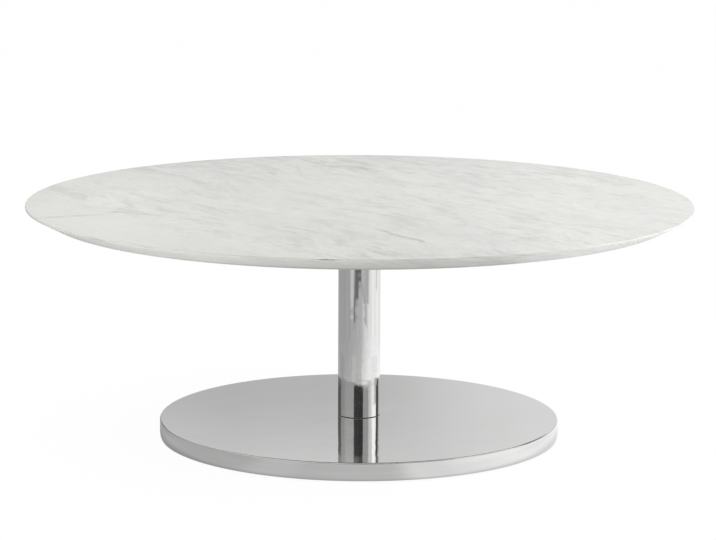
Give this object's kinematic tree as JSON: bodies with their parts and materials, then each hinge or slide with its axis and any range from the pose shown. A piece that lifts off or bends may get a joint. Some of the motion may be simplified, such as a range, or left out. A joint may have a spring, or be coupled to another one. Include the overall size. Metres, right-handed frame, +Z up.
{
  "type": "cocktail table",
  "caption": "Round pedestal cocktail table: knife-edged veined stone top on a polished column and a polished, weighted disc base with screw-adjusted levelling feet.",
  "frame": {"origin": "On the floor, under the middle of the table.", "axes": "+Z up along the column. -Y is the side that the picture shows."},
  "size_m": [0.9939, 0.994, 0.356],
  "materials": {
    "stone": "polished",
    "polished_steel": "polished",
    "black_steel": "satin",
    "zinc_steel": "satin",
    "turned_steel": "satin",
    "brass": "satin",
    "black_rubber": "matte",
    "black_nylon": "matte"
  },
  "bodies": {
    "table": {"stone_top": "stone", "stone_inserts": "brass", "isolation_sheet": "black_rubber", "mounting_plate": "black_steel", "top_washers": "zinc_steel", "top_bolts": "zinc_steel", "upper_hub": "turned_steel", "column_tube": "polished_steel", "foot_gasket": "black_rubber", "lower_spigot": "turned_steel", "tie_rod": "zinc_steel", "tie_nut": "zinc_steel", "tie_washer": "zinc_steel", "base_cover": "polished_steel", "ballast_plate": "black_steel"},
    "pad_1": {"leveller_pad_1": "black_nylon"},
    "screw_1": {"leveller_stem_1": "zinc_steel"},
    "pad_2": {"leveller_pad_2": "black_nylon"},
    "screw_2": {"leveller_stem_2": "zinc_steel"},
    "pad_3": {"leveller_pad_3": "black_nylon"},
    "screw_3": {"leveller_stem_3": "zinc_steel"},
    "pad_4": {"leveller_pad_4": "black_nylon"},
    "screw_4": {"leveller_stem_4": "zinc_steel"}
  },
  "joints": [
    {"name": "leveller_travel_1", "type": "slide", "parent": "table", "child": "pad_1", "axis": [0, 0, -1], "range_m": [0, 0.006]},
    {"name": "leveller_turn_1", "type": "hinge", "parent": "pad_1", "child": "screw_1", "pos_m": [0.17324, 0.17324, 0], "axis": [0, 0, -1], "range_deg": [0, 1728]},
    {"name": "leveller_travel_2", "type": "slide", "parent": "table", "child": "pad_2", "axis": [0, 0, -1], "range_m": [0, 0.006]},
    {"name": "leveller_turn_2", "type": "hinge", "parent": "pad_2", "child": "screw_2", "pos_m": [-0.17324, 0.17324, 0], "axis": [0, 0, -1], "range_deg": [0, 1728]},
    {"name": "leveller_travel_3", "type": "slide", "parent": "table", "child": "pad_3", "axis": [0, 0, -1], "range_m": [0, 0.006]},
    {"name": "leveller_turn_3", "type": "hinge", "parent": "pad_3", "child": "screw_3", "pos_m": [-0.17324, -0.17324, 0], "axis": [0, 0, -1], "range_deg": [0, 1728]},
    {"name": "leveller_travel_4", "type": "slide", "parent": "table", "child": "pad_4", "axis": [0, 0, -1], "range_m": [0, 0.006]},
    {"name": "leveller_turn_4", "type": "hinge", "parent": "pad_4", "child": "screw_4", "pos_m": [0.17324, -0.17324, 0], "axis": [0, 0, -1], "range_deg": [0, 1728]}
  ],
  "couplings": [
    {"joint": "leveller_turn_1", "follows": "leveller_travel_1", "rad_per_m": 5026.5},
    {"joint": "leveller_turn_2", "follows": "leveller_travel_2", "rad_per_m": 5026.5},
    {"joint": "leveller_turn_3", "follows": "leveller_travel_3", "rad_per_m": 5026.5},
    {"joint": "leveller_turn_4", "follows": "leveller_travel_4", "rad_per_m": 5026.5}
  ]
}
